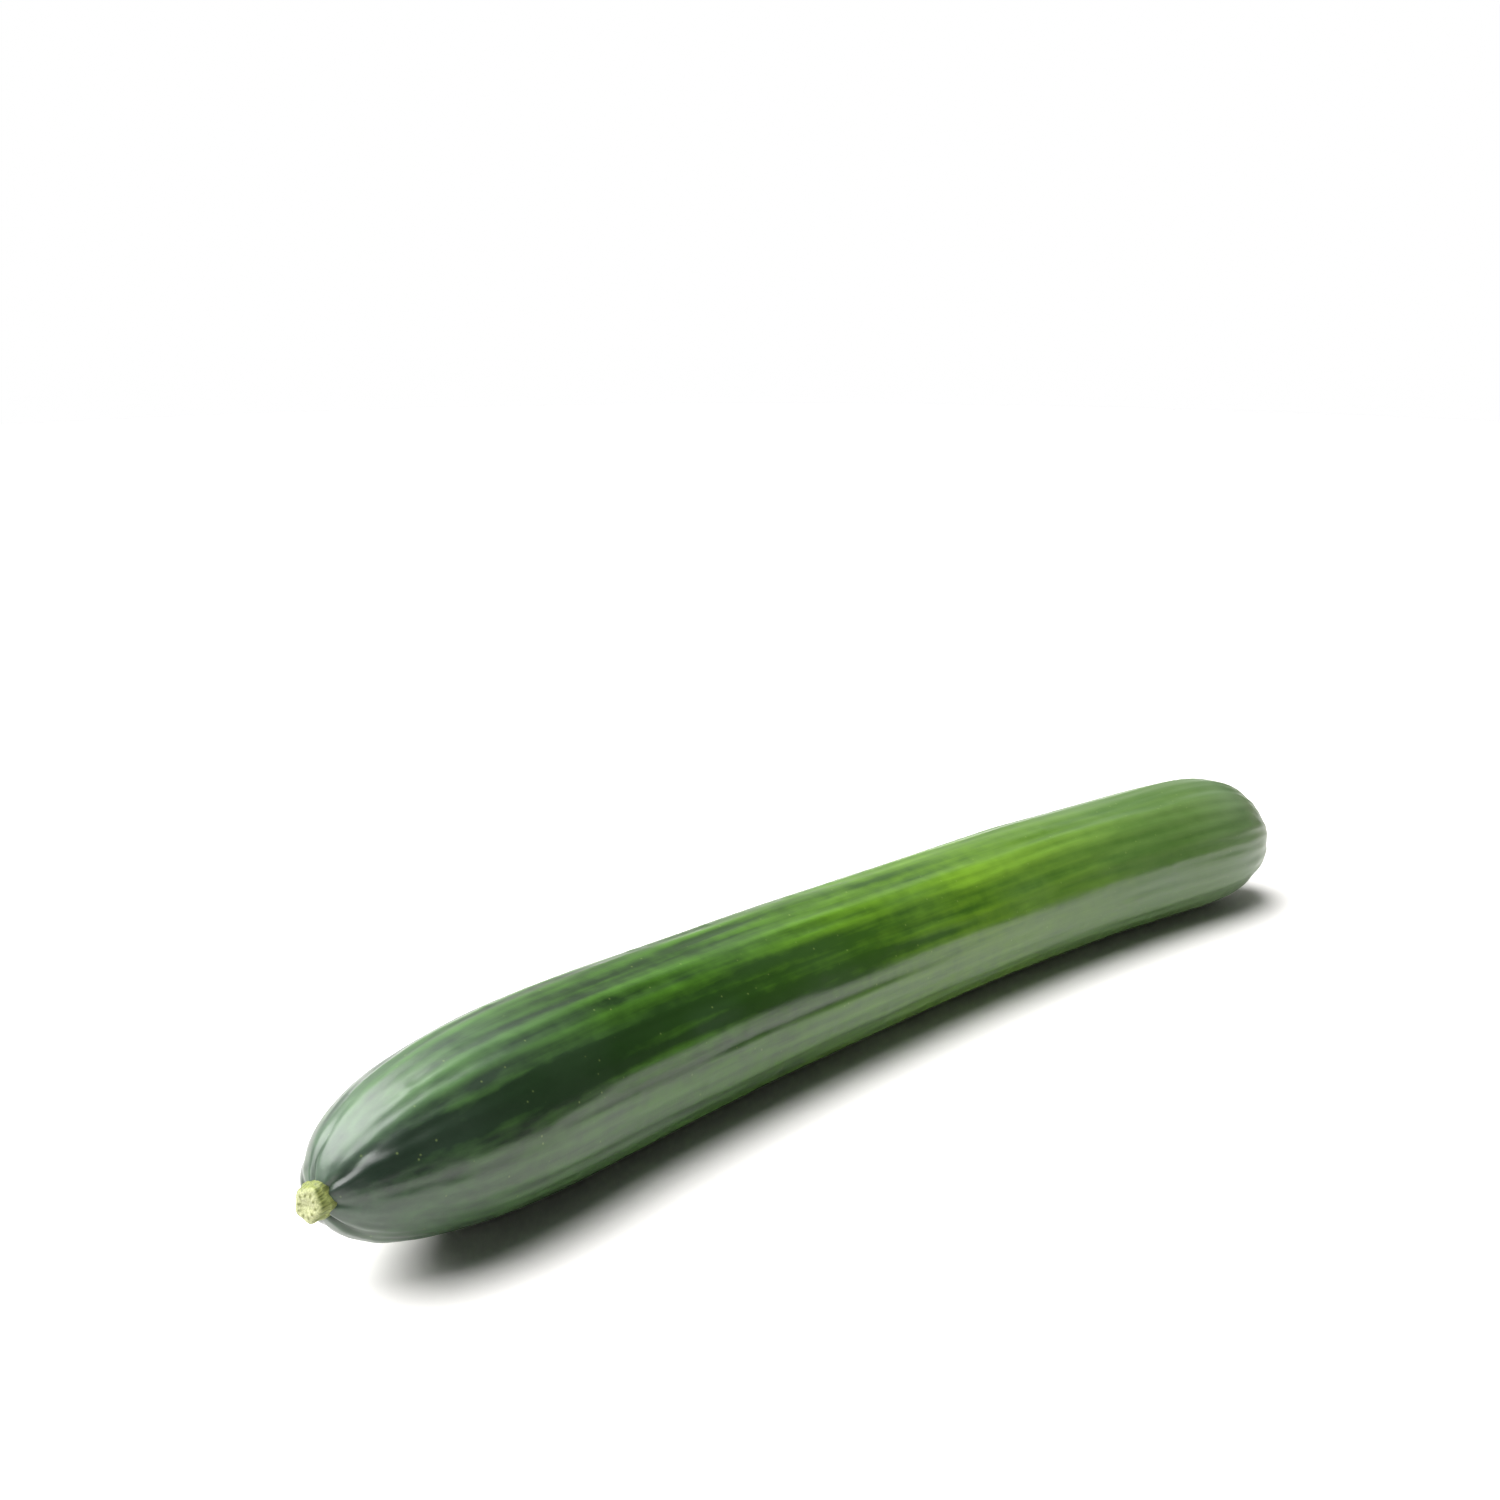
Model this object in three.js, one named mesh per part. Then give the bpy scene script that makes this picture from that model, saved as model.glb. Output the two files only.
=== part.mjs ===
// A long greenhouse cucumber lying on its side, with the stub of the stalk that it was cut from.
// Millimetres, +Z up. The stalk end points along -X, and the fruit bows sideways towards +Y.

import * as THREE from "three";
import { mergeVertices } from "three/addons/utils/BufferGeometryUtils.js";

// The fruit. A share is a place along the fruit, from 0 at the stalk end to 1 at the blossom end.
// A turn is an angle round it, in radians: 0 on the hollow side of the bow, and a quarter turn on top.
const SPAN = 336; // straight line from one end to the other
const SHOULDER_RADIUS = 21.5; // the widest place, near the stalk
const BODY_RADIUS = 20; // the even thickness of the far half
const SLIMMING = { from: 0.18, to: 0.62 }; // shares between which the shoulder slims to the body
const STALK_END = { reach: 0.19, power: 2.55 }; // share that rounds off, and how blunt it is
const BLOSSOM_END = { reach: 0.125, power: 3.2 };
const STALK_RISE = { height: 4.1, reach: 0.3 }; // how far the stalk end turns up, and the share that does
const BOW = 17; // how far the middle stands to the side of the straight line
const BOW_POWER = 2.6; // 2 would be a parabola, and more is straighter in the middle
const BASE_FLAT = 0.35; // depth that the underside gives where it lies on a table

// The shallow ribs along the skin, and the three lobes that a fruit of three seed chambers has
const RIBS = 10;
const RIB_HEIGHT = 0.5;
const LOBES = 3;
const LOBE_HEIGHT = 0.5;
const WINDING = 0.2; // radians that ribs and lobes wind round the fruit from end to end

// The stalk stub: a five-sided stem with a flared foot, cut off square with a soft edge
const STUB_FOOT_RADIUS = 4.5;
const STUB_NECK_RADIUS = 3.7;
const STUB_CUT_RADIUS = 3.9;
const STUB_NECK_AT = 1.1; // height of the neck over the end of the fruit
const STUB_LENGTH = 2.8;
const STUB_FOOT_EDGE = 0.3;
const STUB_FLARE = 0.7; // how far the foot's curve rises before it reaches the neck
const STUB_ROUNDING = 0.6; // of the cut edge
const STUB_SIDES = 5;
const STUB_RIDGE_SHARE = 0.06; // how far the sides' ridges stand out, as a share of the radius
const JOINT_GAP = 0.3; // between the foot and the fruit

// How finely the surfaces are divided
const FRUIT_STATIONS = 44;
const FRUIT_SEGMENTS = 60;
const STUB_SEGMENTS = 30;
const FOOT_STEPS = 4;
const FLARE_STEPS = 5;
const ROUNDING_STEPS = 3;

const UP = new THREE.Vector3(0, 0, 1);
const TURNED_AXIS = new THREE.Vector3(0, 1, 0); // LatheGeometry turns its profile round Y
const UNDERNEATH = -Math.PI / 2;

/** Thickness of the fruit without its rounded ends: a shoulder that slims down to an even body. */
function girth(share) {
  const slimmed = THREE.MathUtils.smoothstep(share, SLIMMING.from, SLIMMING.to);
  return THREE.MathUtils.lerp(SHOULDER_RADIUS, BODY_RADIUS, slimmed);
}

/** Grows from 0 at a tip to 1 where the end has rounded out, as a superellipse does. */
function rounding(shareFromTip, end) {
  const remaining = Math.max(1 - shareFromTip / end.reach, 0);
  return Math.sqrt(1 - remaining ** end.power);
}

/** Both rounded ends at once. */
function ends(share) {
  return rounding(share, STALK_END) * rounding(1 - share, BLOSSOM_END);
}

/** What the ribs and lobes add to the radius: two cosines round the fruit that wind slowly along it. */
function relief(share, turn) {
  const wound = turn + WINDING * share;
  return (RIB_HEIGHT * Math.cos(RIBS * wound) + LOBE_HEIGHT * Math.cos(LOBES * wound)) / 2;
}

/** The line through the middle of the fruit. It bows sideways, and turns up a little at the stalk. */
class FruitAxis extends THREE.Curve {
  getPoint(share, target = new THREE.Vector3()) {
    const sideways = BOW * (1 - Math.abs(2 * share - 1) ** BOW_POWER);
    const rise = STALK_RISE.height * Math.max(1 - share / STALK_RISE.reach, 0) ** 2;
    const height = girth(share) + relief(share, UNDERNEATH) - BASE_FLAT + rise;
    return target.set(SPAN * (share - 0.5), sideways, height);
  }

  /** The direction along the fruit, kept level so that every section stands upright. */
  getLevelTangent(share) {
    const tangent = this.getTangent(share);
    tangent.z = 0;
    return tangent.normalize();
  }
}

/** Merges the seam and poles of a turned shape, and gives it smooth normals. */
function closed(geometry) {
  geometry.deleteAttribute("uv");
  geometry.deleteAttribute("normal");
  const merged = mergeVertices(geometry, 1e-3);
  merged.computeVertexNormals();
  return merged;
}

/** The fruit: turned round a straight axis, then ribbed, bent along its bowed axis and laid flat. */
function fruitGeometry(axis) {
  const profile = [];
  for (let i = 0; i <= FRUIT_STATIONS; i++) {
    const share = (1 - Math.cos((Math.PI * i) / FRUIT_STATIONS)) / 2;
    profile.push(new THREE.Vector2(girth(share) * ends(share), share));
  }
  const geometry = new THREE.LatheGeometry(profile, FRUIT_SEGMENTS);
  const position = geometry.getAttribute("position");
  const point = new THREE.Vector3();
  for (let i = 0; i < position.count; i++) {
    point.fromBufferAttribute(position, i);
    const share = point.y;
    const turn = Math.atan2(point.z, point.x);
    const radius = Math.hypot(point.x, point.z) + relief(share, turn) * ends(share);
    const side = axis.getLevelTangent(share).cross(UP);
    axis.getPoint(share, point);
    point.addScaledVector(side, radius * Math.cos(turn));
    point.addScaledVector(UP, radius * Math.sin(turn));
    position.setXYZ(i, point.x, point.y, Math.max(point.z, 0));
  }
  return closed(geometry);
}

/** How far the stalk end of the fruit drops away at a distance from its tip: a paraboloid. */
function tipDrop(radius) {
  const share = (STALK_END.reach / STALK_END.power) * (radius / SHOULDER_RADIUS) ** 2;
  return SPAN * share;
}

/** Height of the stub's dished foot, which follows the end of the fruit. */
function footHeight(radius) {
  return JOINT_GAP - tipDrop(radius);
}

/** The stub's outline: the dished foot, a waisted stem and a soft-edged cut, from axis to axis. */
function stubOutline() {
  const outline = [];
  for (let i = 0; i <= FOOT_STEPS; i++) {
    const radius = (STUB_FOOT_RADIUS * i) / FOOT_STEPS;
    outline.push(new THREE.Vector2(radius, footHeight(radius)));
  }
  const footTop = footHeight(STUB_FOOT_RADIUS) + STUB_FOOT_EDGE;
  const cutStart = STUB_LENGTH - STUB_ROUNDING;
  const side = new THREE.CubicBezierCurve(
    new THREE.Vector2(STUB_FOOT_RADIUS, footTop),
    new THREE.Vector2(STUB_NECK_RADIUS, footTop + STUB_FLARE),
    new THREE.Vector2(STUB_NECK_RADIUS, STUB_NECK_AT),
    new THREE.Vector2(STUB_CUT_RADIUS, cutStart),
  );
  outline.push(...side.getPoints(FLARE_STEPS));
  for (let i = 1; i <= ROUNDING_STEPS; i++) {
    const angle = ((Math.PI / 2) * i) / ROUNDING_STEPS;
    const inwards = STUB_ROUNDING * (1 - Math.cos(angle));
    const upwards = STUB_ROUNDING * Math.sin(angle);
    outline.push(new THREE.Vector2(STUB_CUT_RADIUS - inwards, cutStart + upwards));
  }
  outline.push(new THREE.Vector2(0, STUB_LENGTH));
  return outline;
}

/** The stub: its outline turned round the stalk's axis, with five ridges down its sides. */
function stubGeometry() {
  const geometry = new THREE.LatheGeometry(stubOutline(), STUB_SEGMENTS);
  const position = geometry.getAttribute("position");
  for (let i = 0; i < position.count; i++) {
    const turn = Math.atan2(position.getZ(i), position.getX(i));
    const ridged = 1 + STUB_RIDGE_SHARE * Math.cos(STUB_SIDES * turn);
    position.setX(i, position.getX(i) * ridged);
    position.setZ(i, position.getZ(i) * ridged);
  }
  return closed(geometry);
}

const axis = new FruitAxis();

const fruit = new THREE.Mesh(
  fruitGeometry(axis),
  new THREE.MeshStandardMaterial({ color: 0x476829, roughness: 0.38, metalness: 0 }),
);
fruit.name = "fruit";

const stemStub = new THREE.Mesh(
  stubGeometry(),
  new THREE.MeshStandardMaterial({ color: 0xb3bc88, roughness: 0.7, metalness: 0 }),
);
stemStub.name = "stem_stub";
stemStub.position.copy(axis.getPoint(0));
stemStub.quaternion.setFromUnitVectors(TURNED_AXIS, axis.getLevelTangent(0).negate());

// The cucumber lies on the table at z = 0, centred over the origin.
const laid = new THREE.Group();
laid.add(fruit, stemStub);
const box = new THREE.Box3().setFromObject(laid, true);
laid.position.set(-(box.min.x + box.max.x) / 2, -(box.min.y + box.max.y) / 2, 0);

const group = new THREE.Group();
group.add(laid);

export default group;
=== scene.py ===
"""A long greenhouse cucumber on a white table: its waxed skin and the cut stub of its stalk.

The two pieces stand for the CAD nodes fruit and stem_stub. Sizes in the classes are millimetres, and MM turns
them into metres where a mesh, a light or a pattern is made. A share is a place along the fruit, from 0 at the
stalk end to 1 at the blossom end. A turn is an angle round it, in radians: 0 on the hollow side of its bow,
and a quarter turn on top.
"""

import itertools
import logging
import math
from collections.abc import Mapping
from dataclasses import dataclass
from enum import Enum

import bpy
import numpy as np
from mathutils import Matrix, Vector


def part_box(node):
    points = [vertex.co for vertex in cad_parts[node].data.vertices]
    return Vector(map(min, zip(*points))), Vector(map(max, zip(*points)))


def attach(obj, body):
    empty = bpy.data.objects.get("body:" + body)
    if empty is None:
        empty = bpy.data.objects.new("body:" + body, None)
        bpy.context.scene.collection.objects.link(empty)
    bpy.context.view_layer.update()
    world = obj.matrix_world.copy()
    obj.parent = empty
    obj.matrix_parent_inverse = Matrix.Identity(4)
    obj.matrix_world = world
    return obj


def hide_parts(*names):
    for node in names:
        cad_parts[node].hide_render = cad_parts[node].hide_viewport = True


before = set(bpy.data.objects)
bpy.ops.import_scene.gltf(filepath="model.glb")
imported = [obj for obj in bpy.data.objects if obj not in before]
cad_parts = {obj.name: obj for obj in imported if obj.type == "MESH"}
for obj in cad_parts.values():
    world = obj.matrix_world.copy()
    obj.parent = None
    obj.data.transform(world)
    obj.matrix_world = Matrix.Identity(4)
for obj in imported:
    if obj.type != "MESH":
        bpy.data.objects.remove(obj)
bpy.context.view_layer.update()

MM = 0.001
TAU = 2 * math.pi
UP = np.array([0.0, 0.0, 1.0])
LATTICE = 64  # random values each way before a grain repeats
LOG = logging.getLogger("cucumber")

# A Mix node's sockets go by number, because each kind of data has a set of its own under the same names.
FACTOR = 0
COLOUR_A, COLOUR_B, COLOUR_OUT = 6, 7, 2
FLOAT_A, FLOAT_B, FLOAT_OUT = 2, 3, 0

Array = np.ndarray
Colour = tuple[float, float, float, float]
Pair = tuple[float, float]
Stops = tuple[tuple[float, str], ...]
Material = bpy.types.Material
Piece = bpy.types.Object
Socket = bpy.types.NodeSocket
Tree = bpy.types.NodeTree


class Slot(Enum):
    """The record's material slots."""

    SKIN = "skin"
    STALK = "stalk"


# --- Numbers and noise ---


def smoothstep(values: Array, start: float, stop: float) -> Array:
    """Rises from 0 at start to 1 at stop, level at both: 3t^2 - 2t^3.

    Args:
        values: where the rise is wanted.
        start: the value at which it begins.
        stop: the value at which it ends.

    Returns:
        The rise, as an array like values.
    """
    t = np.clip((values - start) / (stop - start), 0, 1)
    return t * t * (3 - 2 * t)


def comb(phase: Array, narrowness: float) -> Array:
    """Narrow round peaks from 0 to 1, one each full turn of the phase: ((1 + cos phase) / 2)^narrowness."""
    return ((1 + np.cos(phase)) / 2) ** narrowness


def bell(distance: Array, width: float) -> Array:
    """A bell curve that is 1 in its middle: exp(-(distance / width)^2)."""
    return np.exp(-((distance / width) ** 2))


def dying(distance: Array, onset: Pair, fade: float) -> Array:
    """Opens between the two distances of onset and dies away: smoothstep * exp(-distance / fade)."""
    return smoothstep(distance, *onset) * np.exp(-distance / fade)


def wrapped(angle: Array) -> Array:
    """The same angle, brought to within half a turn of 0."""
    return np.mod(angle + math.pi, TAU) - math.pi


def nearest(phase: Array, values: Array) -> Array:
    """The value that belongs to the nearest full turn of the phase, as the values come round again."""
    return values[np.round(phase / TAU).astype(int) % len(values)]


@dataclass(frozen=True)
class Grain:
    """Smooth random relief whose lumps have a real size, and which comes out the same each run."""

    length: float  # of a lump along the fruit, mm
    width: float  # of a lump round it, mm
    seed: int
    height: float = 1.0  # that the highest lumps come close to

    def at(self, points: Array) -> Array:
        """Blends the eight random lattice values round each point with weights 6t^5 - 15t^4 + 10t^3.

        Args:
            points: places in mm, the last axis holding x, y and z.

        Returns:
            Values between minus and plus the height, one for each point.
        """
        lattice = np.random.default_rng(self.seed).uniform(-1, 1, (LATTICE, LATTICE, LATTICE))
        place = points / np.array([self.length, self.width, self.width])
        corner = np.floor(place).astype(int)
        t = place - corner
        blend = t**3 * (t * (t * 6 - 15) + 10)
        total = np.zeros(points.shape[:-1])
        for step in itertools.product((0, 1), repeat=3):
            weight = np.prod(np.where(step, blend, 1 - blend), axis=-1)
            index = (corner + step) % LATTICE
            total += weight * lattice[index[..., 0], index[..., 1], index[..., 2]]
        return self.height * total

    def below_one(self, points: Array) -> Array:
        """A strength that comes and goes just below 1: 1 - height + grain."""
        return 1 - self.height + self.at(points)


def linear(hex_colour: str) -> Colour:
    """Turns an sRGB colour into linear light.

    Args:
        hex_colour: six hex digits after a #.

    Returns:
        Red, green and blue from 0 to 1, and an alpha of 1.
    """
    channels = [int(hex_colour[i : i + 2], 16) / 255 for i in (1, 3, 5)]
    red, green, blue = (c / 12.92 if c <= 0.04045 else ((c + 0.055) / 1.055) ** 2.4 for c in channels)
    return red, green, blue, 1.0


# --- Meshes and nodes ---


def closed_mesh(name: str, grid: Array, marks: Mapping[str, Array]) -> Piece:
    """Makes one closed, smooth mesh from a grid that runs from pole to pole and wraps round.

    A row is one turn round the shape, and its first and last rows are each a single point. A face joins
    neighbours in two neighbouring rows, in the order that points it outwards.

    Args:
        name: the piece's name.
        grid: places in mm, as rows by columns by 3.
        marks: values to keep on the points for the material, each as rows by columns, or by 3.

    Returns:
        The new object, at the origin, with its place in its mesh.
    """
    rows, columns = grid.shape[:2]
    inner = rows - 2
    ring = np.arange(columns)
    following = np.roll(ring, -1)
    first_pole, last_pole = inner * columns, inner * columns + 1
    base = (np.arange(inner - 1) * columns)[:, None]
    quads = np.stack([base + ring, base + ring + columns, base + following + columns, base + following], -1)
    near_fan = np.stack([np.full(columns, first_pole), ring, following], -1)
    end = (inner - 1) * columns
    far_fan = np.stack([np.full(columns, last_pole), end + following, end + ring], -1)
    faces = near_fan.tolist() + quads.reshape(-1, 4).tolist() + far_fan.tolist()

    def flat(values: Array) -> Array:
        """The rows between the poles one after the other, then the two poles."""
        wide = values.reshape(rows, columns, -1)
        return np.concatenate([wide[1:-1].reshape(inner * columns, -1), wide[0, :1], wide[-1, :1]])

    mesh = bpy.data.meshes.new(name)
    mesh.from_pydata((flat(grid) * MM).tolist(), [], faces)
    for mark, values in marks.items():
        kind, field = ("FLOAT_VECTOR", "vector") if values.ndim == 3 else ("FLOAT", "value")
        layer = mesh.attributes.new(mark, kind, "POINT")
        layer.data.foreach_set(field, flat(values).astype(np.float32).ravel())
    mesh.polygons.foreach_set("use_smooth", np.ones(len(mesh.polygons), bool))
    mesh.update()
    piece = bpy.data.objects.new(name, mesh)
    bpy.context.scene.collection.objects.link(piece)
    return piece


def settle(piece: Piece, node: str, material: Material) -> None:
    """Dresses a finished piece and lets it stand for its CAD node.

    Args:
        piece: the finished mesh.
        node: the CAD node that it replaces.
        material: what it is dressed in.
    """
    piece.data.materials.append(material)
    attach(piece, "root")
    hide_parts(node)
    LOG.info("%s: %d faces", piece.name, len(piece.data.polygons))


def add_node(
    tree: Tree,
    kind: str,
    inputs: Mapping[str | int, object] | None = None,
    stops: Stops = (),
    **settings: object,
) -> bpy.types.Node:
    """Adds one shader node with its settings, values and links.

    Args:
        tree: the node tree of a material or world.
        kind: the node's type name.
        inputs: for an input's name or number, a value or the output socket that feeds it.
        stops: for a colour ramp, the place and sRGB colour of each stop, from left to right.
        settings: the node's own properties.

    Returns:
        The new node.
    """
    node = tree.nodes.new(kind)
    for name, value in settings.items():
        setattr(node, name, value)
    for key, value in (inputs or {}).items():
        if isinstance(value, Socket):
            tree.links.new(value, node.inputs[key])
        else:
            node.inputs[key].default_value = value
    for i, (place, hex_colour) in enumerate(stops):
        ramp = node.color_ramp
        stop = ramp.elements[i] if i < len(ramp.elements) else ramp.elements.new(place)
        stop.position = place
        stop.color = linear(hex_colour)
    return node


def new_material(name: str) -> tuple[Material, Tree]:
    """Starts a material with an empty node tree.

    Args:
        name: the real material and how its surface was made.

    Returns:
        The material and its node tree.
    """
    material = bpy.data.materials.new(name)
    material.use_nodes = True
    material.node_tree.nodes.clear()
    return material, material.node_tree


def drawn_out(
    tree: Tree, straight: Socket, size: Pair, octaves: float, fineness: float
) -> Socket:
    """A cloudy pattern drawn out along the fruit or its stalk, as plant fibres are.

    Args:
        tree: the material's nodes.
        straight: the place on the straightened piece, in metres.
        size: length and width of one cloud, mm.
        octaves: how many finer patterns lie on the first.
        fineness: how strong each of them is against the one before.

    Returns:
        The socket with the pattern, about 0.5 on average.
    """
    length, width = size
    scale = (1 / (length * MM), 1 / (width * MM), 1 / (width * MM))
    place = add_node(tree, "ShaderNodeMapping", {"Vector": straight, "Scale": scale})
    noise = add_node(
        tree,
        "ShaderNodeTexNoise",
        {"Vector": place.outputs["Vector"], "Scale": 1.0, "Detail": octaves, "Roughness": fineness},
    )
    return noise.outputs["Fac"]


# --- Finishes ---


@dataclass(frozen=True)
class WaxedSkin:
    """Living cucumber skin that grew under a thin wax bloom.

    The eye gets a deep green with paler streaks that run along the fruit, yellower towards the blossom end,
    and broad soft lights, because the wax is smooth but the skin under it isn't. Patterns lie on the
    straightened fruit, so that they follow its bow.
    """

    length: float  # of the fruit that the two greens are spread along, mm

    # The green of the furrows and that of the crests, each from the stalk's tip to the blossom's
    deep: Stops = (
        (0.0, "#0f1e14"), (0.10, "#10230e"), (0.30, "#1a350b"), (0.60, "#2f5010"), (0.82, "#3c5c22"),
        (0.95, "#46602c"), (1.0, "#66764a"),
    )
    bright: Stops = (
        (0.0, "#3a5438"), (0.10, "#466e2e"), (0.30, "#4b7c18"), (0.60, "#678e20"), (0.82, "#557236"),
        (0.95, "#5f7648"), (1.0, "#848f66"),
    )

    streak: Pair = (34.0, 2.1)  # length and width of one streak, mm
    streak_share: float = 1.0  # how much a streak changes the green
    mottle: Pair = (5.0, 5.0)  # length and width of one cloudy blotch, mm
    mottle_share: float = 0.5
    fineness: float = 0.55  # of all three patterns
    # This grey is the wax bloom's, and where the veil is thick it is also painted reflection.
    veil: str = "#7b8f80"  # the wax bloom
    shade: str = "#0f1e12"  # down in a fold
    scar: str = "#887750"  # corky skin where the blossom fell off
    fleck: str = "#9db06a"  # a breathing pore
    fleck_spacing: float = 3.6  # mm
    fleck_radius: float = 0.34  # mm
    fleck_core: float = 0.4  # share of its radius that is palest
    fleck_strength: float = 0.22
    pore: Pair = (0.55, 0.55)  # length and width of the finest dimples, mm
    pore_share: float = 0.3  # of the fine relief, and the streaks have the rest
    relief_depth: float = 0.045  # that the streaks and dimples stand out by, mm
    roughness: Pair = (0.25, 0.42)  # where the wax is thin, and where it is thick
    bloom_weight: float = 2.0  # how much more the bloom roughens the skin than the blotches do
    ior: float = 1.46
    coat: float = 0.2
    coat_roughness: float = 0.22

    def colour(self, tree: Tree, marks: Mapping[str, Socket], streaks: Socket, blotches: Socket) -> Socket:
        """Lays the green, the grey veil of wax bloom and painted reflection, the folds' painted shade, the
        flecks and the scar over each other.

        Args:
            tree: the material's nodes.
            marks: the sockets of the fruit's marks, by name.
            streaks: the pattern of the streaks.
            blotches: the pattern of the blotches.

        Returns:
            The socket with the skin's colour.
        """
        # Two greens run along the fruit, and the fruit's own marks and the patterns choose between them.
        place = add_node(tree, "ShaderNodeSeparateXYZ", {"Vector": marks["straight"]})
        inputs = {0: place.outputs["X"], 1: self.length * MM}
        along = add_node(tree, "ShaderNodeMath", inputs, operation="DIVIDE").outputs["Value"]
        deep, bright = (
            add_node(tree, "ShaderNodeValToRGB", {"Fac": along}, stops=stops).outputs["Color"]
            for stops in (self.deep, self.bright)
        )
        light = marks["light"]
        for pattern, share in ((streaks, self.streak_share), (blotches, self.mottle_share)):
            inputs = {0: pattern, 1: share, 2: light}
            light = add_node(tree, "ShaderNodeMath", inputs, operation="MULTIPLY_ADD").outputs["Value"]
        inputs = {FACTOR: light, COLOUR_A: deep, COLOUR_B: bright}
        laid = add_node(tree, "ShaderNodeMix", inputs, data_type="RGBA").outputs[COLOUR_OUT]

        # Breathing pores are sparse pale flecks with soft rims.
        cells = add_node(
            tree,
            "ShaderNodeTexVoronoi",
            {"Vector": marks["straight"], "Scale": 1 / (self.fleck_spacing * MM), "Randomness": 1.0},
        )
        rim = self.fleck_radius / self.fleck_spacing
        flecks = add_node(
            tree,
            "ShaderNodeMapRange",
            {
                "Value": cells.outputs["Distance"],
                "From Min": rim * self.fleck_core,
                "From Max": rim,
                "To Min": self.fleck_strength,
                "To Max": 0.0,
            },
        )

        # The grey veil is partly the thin wax bloom and partly painted reflection, and folds hold painted
        # shadow and a darker green.
        layers = (
            (marks["bloom_and_reflection"], self.veil),
            (marks["fold"], self.shade),
            (flecks.outputs["Result"], self.fleck),
            (marks["scar"], self.scar),
        )
        for amount, over in layers:
            inputs = {FACTOR: amount, COLOUR_A: laid, COLOUR_B: linear(over)}
            laid = add_node(tree, "ShaderNodeMix", inputs, data_type="RGBA").outputs[COLOUR_OUT]
        return laid

    def make(self) -> Material:
        """Builds the skin's material.

        Returns:
            The material, which reads the marks straight, light, bloom_and_reflection, fold and scar.
        """
        material, tree = new_material("cucumber_skin_grown_waxy")
        marks = {
            name: add_node(tree, "ShaderNodeAttribute", attribute_name=name).outputs["Fac"]
            for name in ("light", "bloom_and_reflection", "fold", "scar")
        }
        straight = add_node(tree, "ShaderNodeAttribute", attribute_name="straight").outputs["Vector"]
        marks["straight"] = straight
        streaks = drawn_out(tree, straight, self.streak, octaves=3.0, fineness=self.fineness)
        blotches = drawn_out(tree, straight, self.mottle, octaves=2.0, fineness=self.fineness)
        pores = drawn_out(tree, straight, self.pore, octaves=1.0, fineness=self.fineness)

        thin, thick = self.roughness
        wax = {0: marks["bloom_and_reflection"], 1: self.bloom_weight, 2: blotches}
        waxed = add_node(tree, "ShaderNodeMath", wax, operation="MULTIPLY_ADD")
        waxiness = {"Value": waxed.outputs["Value"], "To Min": thin, "To Max": thick}
        roughness = add_node(tree, "ShaderNodeMapRange", waxiness)
        fine = {FACTOR: self.pore_share, FLOAT_A: streaks, FLOAT_B: pores}
        height = add_node(tree, "ShaderNodeMix", fine, data_type="FLOAT")
        raised = {"Height": height.outputs[FLOAT_OUT], "Strength": 1.0, "Distance": self.relief_depth * MM}
        bump = add_node(tree, "ShaderNodeBump", raised)
        shader = add_node(
            tree,
            "ShaderNodeBsdfPrincipled",
            {
                "Base Color": self.colour(tree, marks, streaks, blotches),
                "Roughness": roughness.outputs["Result"],
                "Normal": bump.outputs["Normal"],
                "IOR": self.ior,
                "Coat Weight": self.coat,
                "Coat Roughness": self.coat_roughness,
            },
        )
        add_node(tree, "ShaderNodeOutputMaterial", {"Surface": shader.outputs["BSDF"]})
        return material


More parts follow.
